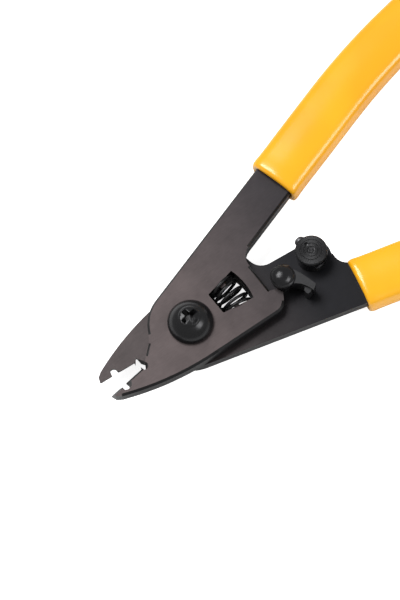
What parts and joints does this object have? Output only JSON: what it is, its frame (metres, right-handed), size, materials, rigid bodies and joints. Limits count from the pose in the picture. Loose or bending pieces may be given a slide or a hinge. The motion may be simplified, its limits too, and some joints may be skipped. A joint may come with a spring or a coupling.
{
  "type": "fibre stripper",
  "caption": "Open two-blade fibre stripper with notched jaws, coil return spring in a window, swing lock, stop post and dipped yellow grips.",
  "frame": {"origin": "on the pivot axis, in the plane the tool rests on: the underside of the lock nut and the end of the pivot screw", "axes": "+X from the pivot towards the handles, midway between them, with the jaws at -X; +Z along the pivot axis from the nut up to the domed screw head; +Y towards the front blade's handle"},
  "size_m": [0.1365, 0.0708, 0.0123],
  "materials": {
    "blade_steel": "black oxide over a fine ground surface",
    "black_steel": "glossy black oxide",
    "spring_wire": "dark drawn wire",
    "screw_steel": "dark, slightly coppery",
    "grip_vinyl": "glossy dipped vinyl"
  },
  "bodies": {
    "rear": {"rear_blade": "blade_steel", "rear_grip": "grip_vinyl", "pivot_screw": "black_steel", "pivot_nut": "black_steel", "pivot_washer": "black_steel", "return_spring": "spring_wire", "lever_washer": "black_steel", "lock_rivet": "black_steel", "stop_post": "black_steel", "stop_set_screw": "screw_steel"},
    "front": {"front_blade": "blade_steel", "front_grip": "grip_vinyl"},
    "lever": {"lock_lever": "black_steel"}
  },
  "joints": [
    {"name": "handle_pivot", "type": "hinge", "parent": "rear", "child": "front", "pos_m": [0, 0, 0], "axis": [0, 0, 1], "range_deg": [-14, 0], "stiffness_Nm_per_rad": 1.5, "deforming": ["return_spring"]},
    {"name": "lock_pivot", "type": "hinge", "parent": "rear", "child": "lever", "pos_m": [0.02254, -0.00482, 0], "axis": [0, 0, 1], "range_deg": [-54, 0]}
  ]
}
